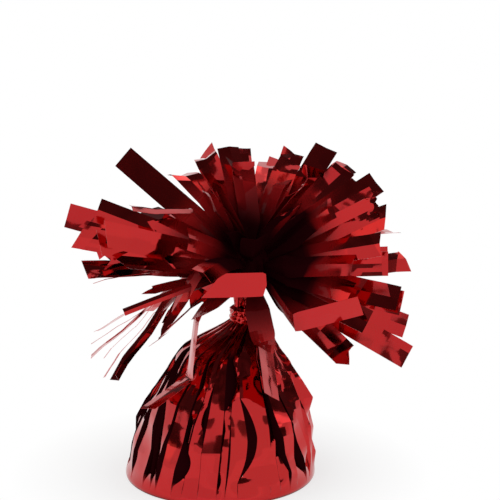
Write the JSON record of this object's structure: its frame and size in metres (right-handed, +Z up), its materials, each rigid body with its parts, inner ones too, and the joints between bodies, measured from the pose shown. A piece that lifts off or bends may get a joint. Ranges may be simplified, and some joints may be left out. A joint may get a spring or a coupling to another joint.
{
  "type": "balloon weight",
  "caption": "Foil balloon weight: cast core in pleated red metallised film, tied at the neck under a burst of fringe strips.",
  "frame": {"origin": "centre of the base, on the surface that the weight stands on", "axes": "+Z up; +X towards the side that the neck leans to; -Y is the front"},
  "size_m": [0.1116, 0.0965, 0.107],
  "materials": {
    "cast_cement": "matte",
    "red_film": "polished",
    "red_tie": "gloss"
  },
  "bodies": {
    "wrapped_weight": {"weight_core": "cast_cement", "foil_wrap": "red_film", "neck_tie": "red_tie"},
    "burst": {"fringe_roots": "red_film"},
    "left_spray": {"left_strip_1": "red_film", "left_strip_2": "red_film", "left_strip_3": "red_film", "left_strip_4": "red_film"},
    "left_front_spray": {"left_front_strip_1": "red_film", "left_front_strip_2": "red_film", "left_front_strip_3": "red_film", "left_front_strip_4": "red_film"},
    "left_droop_spray": {"left_droop_strip_1": "red_film", "left_droop_strip_2": "red_film", "left_droop_strip_3": "red_film", "left_droop_strip_4": "red_film", "left_droop_strip_5": "red_film"},
    "upper_left_spray": {"upper_left_strip_1": "red_film", "upper_left_strip_2": "red_film", "upper_left_strip_3": "red_film"},
    "top_spray": {"top_strip_1": "red_film", "top_strip_2": "red_film", "top_strip_3": "red_film", "top_strip_4": "red_film", "top_strip_5": "red_film", "top_strip_6": "red_film"},
    "upper_right_spray": {"upper_right_strip_1": "red_film", "upper_right_strip_2": "red_film", "upper_right_strip_3": "red_film"},
    "right_spray": {"right_strip_1": "red_film", "right_strip_2": "red_film", "right_strip_3": "red_film", "right_strip_4": "red_film"},
    "right_droop_spray": {"right_droop_strip_1": "red_film", "right_droop_strip_2": "red_film", "right_droop_strip_3": "red_film"},
    "front_spray": {"front_strip_1": "red_film", "front_strip_2": "red_film", "front_strip_3": "red_film", "front_strip_4": "red_film"},
    "tail_spray": {"tail_strip_1": "red_film"},
    "hanging_spray": {"hanging_strip_1": "red_film"},
    "back_spray": {"back_strip_1": "red_film", "back_strip_2": "red_film", "back_strip_3": "red_film", "back_strip_4": "red_film", "back_strip_5": "red_film", "back_strip_6": "red_film"},
    "back_low_spray": {"back_low_strip_1": "red_film", "back_low_strip_2": "red_film", "back_low_strip_3": "red_film", "back_low_strip_4": "red_film", "back_low_strip_5": "red_film", "back_low_strip_6": "red_film"},
    "crown_spray": {"crown_strip_1": "red_film", "crown_strip_2": "red_film", "crown_strip_3": "red_film", "crown_strip_4": "red_film"}
  },
  "joints": [
    {"name": "neck_sway", "type": "hinge", "parent": "wrapped_weight", "child": "burst", "pos_m": [0.0088, 0, 0.0585], "axis": [0, 1, 0], "range_deg": [-10, 10], "stiffness_Nm_per_rad": 0.06},
    {"name": "left_flex", "type": "hinge", "parent": "burst", "child": "left_spray", "pos_m": [0.01, 0, 0.07], "axis": [0, 0, 1], "range_deg": [-6, 6], "stiffness_Nm_per_rad": 0.02},
    {"name": "left_front_flex", "type": "hinge", "parent": "burst", "child": "left_front_spray", "pos_m": [0.01, 0, 0.07], "axis": [0.2074, 0.5185, 0.8296], "range_deg": [-6, 6], "stiffness_Nm_per_rad": 0.02},
    {"name": "left_droop_flex", "type": "hinge", "parent": "burst", "child": "left_droop_spray", "pos_m": [0.01, 0, 0.07], "axis": [0, 0, 1], "range_deg": [-6, 6], "stiffness_Nm_per_rad": 0.02},
    {"name": "upper_left_flex", "type": "hinge", "parent": "burst", "child": "upper_left_spray", "pos_m": [0.01, 0, 0.07], "axis": [0.795, 0.3478, 0.4969], "range_deg": [-6, 6], "stiffness_Nm_per_rad": 0.02},
    {"name": "top_flex", "type": "hinge", "parent": "burst", "child": "top_spray", "pos_m": [0.01, 0, 0.07], "axis": [1, 0, 0], "range_deg": [-6, 6], "stiffness_Nm_per_rad": 0.02},
    {"name": "upper_right_flex", "type": "hinge", "parent": "burst", "child": "upper_right_spray", "pos_m": [0.01, 0, 0.07], "axis": [-0.4581, 0.3563, 0.8144], "range_deg": [-6, 6], "stiffness_Nm_per_rad": 0.02},
    {"name": "right_flex", "type": "hinge", "parent": "burst", "child": "right_spray", "pos_m": [0.01, 0, 0.07], "axis": [0, 0, 1], "range_deg": [-6, 6], "stiffness_Nm_per_rad": 0.02},
    {"name": "right_droop_flex", "type": "hinge", "parent": "burst", "child": "right_droop_spray", "pos_m": [0.01, 0, 0.07], "axis": [0, 0, 1], "range_deg": [-6, 6], "stiffness_Nm_per_rad": 0.02},
    {"name": "front_flex", "type": "hinge", "parent": "burst", "child": "front_spray", "pos_m": [0.01, 0, 0.07], "axis": [0, 0, 1], "range_deg": [-6, 6], "stiffness_Nm_per_rad": 0.02},
    {"name": "tail_flex", "type": "hinge", "parent": "burst", "child": "tail_spray", "pos_m": [0.01, 0, 0.07], "axis": [-0.8746, -0.4848, 0], "range_deg": [0, 8], "stiffness_Nm_per_rad": 0.02},
    {"name": "hanging_flex", "type": "hinge", "parent": "burst", "child": "hanging_spray", "pos_m": [0.01, 0, 0.07], "axis": [-0.719, 0.695, 0], "range_deg": [0, 5], "stiffness_Nm_per_rad": 0.02},
    {"name": "back_flex", "type": "hinge", "parent": "burst", "child": "back_spray", "pos_m": [0.01, 0, 0.07], "axis": [1, 0, 0], "range_deg": [-6, 6], "stiffness_Nm_per_rad": 0.02},
    {"name": "back_low_flex", "type": "hinge", "parent": "burst", "child": "back_low_spray", "pos_m": [0.01, 0, 0.07], "axis": [1, 0, 0], "range_deg": [-6, 6], "stiffness_Nm_per_rad": 0.02},
    {"name": "crown_flex", "type": "hinge", "parent": "burst", "child": "crown_spray", "pos_m": [0.01, 0, 0.07], "axis": [1, 0, 0], "range_deg": [-6, 6], "stiffness_Nm_per_rad": 0.02}
  ]
}
